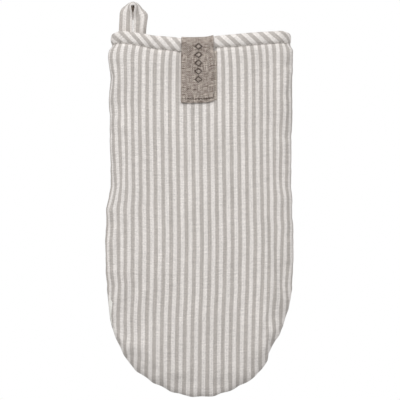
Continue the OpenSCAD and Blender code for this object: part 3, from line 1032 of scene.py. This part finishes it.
LABEL_LOW, LABEL_HIGH = corner("woven_label", 0), corner("woven_label", 1)
LABEL_LEN = 58.2        # the label hangs this far down from the cuff's edge
LABEL_T = 0.75
LABEL_IN = 18.0         # ... and goes this far down inside the mouth
LABEL_LIFT = 0.9        # its middle lies this far above the shell
LABEL_STEPS = 110
UP_STEPS = 30
PLY_LEN = 46.0          # the second ply under it: length, start below the edge, lift and lead to the right
PLY_FROM = 13.0
PLY_LIFT = 0.15
PLY_OUT = 2.6
SHELL_ROW = 120         # a row of the front shell just below the label's foot


def shell_height(x, y):
    """Heights of the front shell's outside at x and along y: two columns, mixed by x's place between."""
    cols = front_points[SHELL_ROW, :, 0]
    place = np.interp(x, cols, np.arange(len(cols)))
    left = min(int(place), len(cols) - 2)
    low, high = (np.interp(y, front_points[:, k, 1], front_points[:, k, 2]) for k in (left, left + 1))
    return low + (high - low) * (place - left)


def label_lines(xs, lift, length, ply_only=False):
    """The label's line over each x: up the front, over the binding and down inside the mouth.

    The second ply stops below the binding. Each line's points are spread evenly and smoothed.
    """
    pts, out, xi_all, s_all = mouth
    front = out[:, 2] > 0.5
    order = np.argsort(pts[front, 0])
    px, pz = pts[front][order][:, 0], pts[front][order][:, 2]
    pxi, ps = xi_all[front][order], s_all[front][order]
    lines = []
    for x in xs:
        xi, s, z0 = np.interp(x, px, pxi), np.interp(x, px, ps), np.interp(x, px, pz)
        edge = TIP_Y + cuff_at(xi)
        low = np.linspace(length, binding_w_at(xi) + 3.0, UP_STEPS)
        n, e = binding_section(xi, s, np.radians(np.linspace(-25, 205, 40)), lift)
        inside = np.linspace(binding_w_at(xi) + 2.0, LABEL_IN, 6)
        below = np.concatenate([low, e, inside])
        z = np.concatenate([shell_height(x, edge - low) + lift, z0 + n,
                            np.full(len(inside), z0 - wall_at(xi) - 1.0 - lift)])
        line = np.stack([np.full(len(z), x), edge - below, z], -1)
        if ply_only:
            line = line[:UP_STEPS][low >= PLY_FROM]
        d = lengths(line)
        lines.append(averaged(read_line(np.linspace(0, d[-1], LABEL_STEPS), d, line), 8))
    return np.stack(lines, 1)


def make_label():
    """The label: a linen tape folded over the cuff's edge, and its second ply showing at the right."""
    width = LABEL_HIGH[0] - LABEL_LOW[0]
    middle = (LABEL_LOW[0] + LABEL_HIGH[0]) / 2
    steps = np.linspace(0, 1, 31)
    xs = LABEL_LOW[0] + width * steps
    lines = label_lines(xs, LABEL_LIFT, LABEL_LEN)
    lines[..., 2] += 0.12 * np.sin(lines[..., 1] / 5.0 + lines[..., 0] / 9.0)
    waist = 0.965 + 0.035 * smooth((CUFF_Y - lines[..., 1]) / 40)
    lines[..., 0] = middle + (lines[..., 0] - middle) * waist
    length = lengths(lines[:, 15])
    out = normals_of(lines)
    top = slab("label_folded_tape", lines + out * LABEL_T / 2, lines - out * LABEL_T / 2,
               grid_uv(xs - middle, length), tape)
    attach(top, "hand_part")
    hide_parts("woven_label")
    under = label_lines(xs + PLY_OUT * steps, PLY_LIFT, LABEL_LEN - 0.8, ply_only=True)
    out = normals_of(under) * 0.2
    ply = slab("label_second_ply", under + out, under - out,
               grid_uv(xs - middle, np.linspace(0, PLY_LEN, LABEL_STEPS)), tape_under)
    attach(ply, "hand_part")
    return lines


label_points = make_label()


def on_label(x, up):
    """A point on the label's outside: x across, up above its lower edge."""
    mid = np.argmin(np.abs(label_points[0, :, 0] - x))
    column = label_points[:, mid]
    _, y, z = read_line(up, lengths(column), column)
    return np.array([x, y, z + LABEL_T / 2 + 0.1])


def make_label_stitches():
    """A dark row across the label near its lower edge, doubled at the right and turned up at its end."""
    rng = np.random.default_rng(21)
    left, right = LABEL_LOW[0] + 0.6, LABEL_HIGH[0] - 0.8
    count = 12
    pitch = (right - left) / count
    a, b = [], []
    # first stitch, shift and length in stitches, heights of both ends, and how far they stray
    for first, shift, long, up_a, up_b, stray in ((0, 0, 0.78, 3.9, 3.9, 0.3),
                                                  (count // 2, 0.45, 0.6, 3.1, 3.3, 0.2)):
        for i in range(first, count):
            x = left + (i + shift) * pitch
            a.append(on_label(x, up_a + rng.uniform(-stray, stray)))
            b.append(on_label(x + pitch * long, up_b + rng.uniform(-stray, stray)))
    for i in range(2):
        a.append(on_label(right + 0.1, 3.4 + i * 1.7))
        b.append(on_label(right + 0.2, 4.8 + i * 1.7))
    up = np.tile([0, 0, 0.22], (len(a), 1))
    ob = threads("label_thread", a, b, up, 0.3, dark_thread)
    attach(ob, "hand_part")
    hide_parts("label_stitches")


make_label_stitches()


# ---------------------------------------------------------------- hanging loop

LOOP_TOP = corner("hanging_loop", 1)[1]
LOOP_TAPE_W = 12.2
LOOP_TAPE_T = 1.9
SLIT_X = -59.9          # the line where the two legs meet
LOOP_Z = LOOP_HINGE[2]

# The tape's outer and inner edge, right of the slit's line, from the sewn end up to the arch's top:
# distance from the slit's line, and distance below the top of the loop.
OUTER_RIGHT = [(11.4, 42), (11.6, 30), (12.1, 23), (12.9, 17), (13.5, 13.2), (13.5, 10.8), (12.3, 9.0),
               (10.2, 7.4), (8.5, 6.0), (6.9, 3.8), (4.7, 1.4), (1.6, -0.2), (0, -0.3)]
OUTER_LEFT = [(13.0, 42), (12.9, 30), (12.7, 23), (12.3, 16), (12.0, 9.3), (11.0, 6.4), (9.3, 4.6),
              (7.2, 3.4), (6.0, 2.2), (3.9, 0.7), (1.2, -0.2), (0, -0.3)]
INNER = [(0.25, 42), (0.25, 30), (0.25, 20), (0.3, 13), (0.4, 10.2), (1.0, 8.2), (1.9, 5.8), (2.2, 3.6),
         (1.2, 2.0), (0, 1.6)]


def rounded(points, n, rounds=12):
    """Points spread evenly along a polyline, then smoothed by repeated averaging, with its ends kept."""
    points = np.array(points, float)
    d = lengths(points)
    return averaged(read_line(np.linspace(0, 1, n) * d[-1], d, points), rounds)


def loop_edges(n=90):
    """Both edges of the tape, up the left leg, over the arch and down the right one.

    Where the edges come nearer each other than the tape is wide, the tape stands up on edge: the inner
    edge rises and the outer one drops by what is missing of its width.
    """
    edges = []
    for right, left in ((OUTER_RIGHT, OUTER_LEFT), (INNER, INNER)):
        up, down = rounded(left, n) * (-1, -1), rounded(right, n)[-2::-1] * (1, -1)
        edges.append(np.concatenate([up, down]) + (SLIT_X, LOOP_TOP))
    outer, inner = edges
    flat = np.linalg.norm(outer - inner, axis=1)
    stand = averaged(np.sqrt(np.clip(LOOP_TAPE_W ** 2 - flat ** 2, 0, None)), 30)
    z_in, z_out = LOOP_Z + 0.42 * stand, LOOP_Z - 0.42 * stand
    return np.column_stack([outer, z_out]), np.column_stack([inner, z_in])


def make_loop():
    """The hanging loop: a folded tape of the striped cloth, its section a flat superellipse."""
    outer, inner = loop_edges()
    mid = (outer + inner) / 2
    wide = inner - outer
    width = np.linalg.norm(wide, axis=1, keepdims=True)
    wide = wide / width
    along = np.gradient(mid, axis=0)
    along -= (along * wide).sum(1, keepdims=True) * wide
    along /= np.linalg.norm(along, axis=1, keepdims=True)
    normal = np.cross(wide, along)
    phi = np.linspace(0, 2 * math.pi, 40, endpoint=False)
    c = np.sign(np.cos(phi)) * np.abs(np.cos(phi)) ** 0.75
    s = np.sign(np.sin(phi)) * np.abs(np.sin(phi)) ** 0.55
    points = mid[:, None] + (wide * width / 2)[:, None] * c[:, None] \
        + normal[:, None] * LOOP_TAPE_T / 2 * s[:, None]
    length = lengths(mid)
    across = np.append(c, c[0]) * LOOP_TAPE_W / 2 + LOOP_TAPE_W / 2 - 1.2
    ob = tube("loop_folded_tape", points, grid_uv(across, length), linen)
    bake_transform(ob)
    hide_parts("hanging_loop", "loop_ends")


make_loop()


def make_loop_inner_ply():
    """The far side of the folded tape, which closes the slit between the legs a few millimetres down. Its
    cloth is a darker, browner copy of the stripe: painted shade in the slit.
    """
    a = np.linspace(-1, 1, 13)[None, :]
    b = np.linspace(-1, 1, 15)[:, None]
    x = SLIT_X + 4.6 * a * np.sqrt(1 - 0.5 * b ** 2) + 0 * b
    y = LOOP_TOP - 9.0 + 6.6 * b * np.sqrt(1 - 0.5 * a ** 2)
    z = LOOP_Z - 3.0 - 0.8 * (1 - a ** 2) * (1 - b ** 2)
    top = np.stack([x, y, z], -1)
    uv = np.stack([x - SLIT_X + 5.2, y], -1)
    ob = slab("loop_inner_ply", top, top - np.array([0, 0, 0.9]), uv, painted_shade_linen)
    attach(ob, "loop")


make_loop_inner_ply()


def make_loop_tack():
    """Two rows of stitches that hold the loop's ends down inside the mouth."""
    low, high = corner("loop_tack", 0), corner("loop_tack", 1)
    pitch, length = 2.6, 1.9
    a, b = [], []
    for y in (low[1] + 0.35, high[1] - 0.35):
        for x in np.arange(low[0], high[0] - length, pitch):
            a.append((x, y, LOOP_Z + LOOP_TAPE_T / 2))
            b.append((x + length, y, LOOP_Z + LOOP_TAPE_T / 2))
    ob = threads("loop_tack_thread", a, b, np.tile([0, 0, 0.2], (len(a), 1)), 0.28, pale_thread)
    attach(ob, "hand_part")
    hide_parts("loop_tack")


make_loop_tack()
